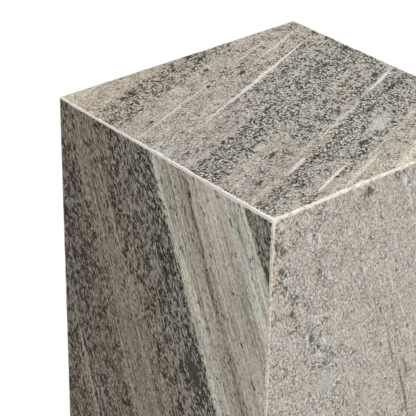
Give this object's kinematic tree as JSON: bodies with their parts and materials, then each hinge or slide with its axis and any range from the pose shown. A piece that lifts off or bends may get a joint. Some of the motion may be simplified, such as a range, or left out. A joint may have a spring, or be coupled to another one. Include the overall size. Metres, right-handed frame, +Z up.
{
  "type": "marble plinth block",
  "caption": "Square honed-marble plinth, a column of mitred stone slabs with pale resin-filled corner joints and a hollow, open underside.",
  "frame": {"origin": "middle of the footprint, at floor level", "axes": "+Z up along the column; -Y is the front face, which is the picture's right-hand one, and -X the left face, which is the picture's left-hand one"},
  "size_m": [0.3, 0.3, 0.51],
  "materials": {
    "marble": "honed, matte, banded grey-brown with dark green-grey grains and pale veins",
    "resin": "cream, cured and rubbed flush"
  },
  "bodies": {
    "root": {"top_slab": "marble", "front_slab": "marble", "right_slab": "marble", "back_slab": "marble", "left_slab": "marble", "joint_resin": "resin"}
  },
  "joints": []
}
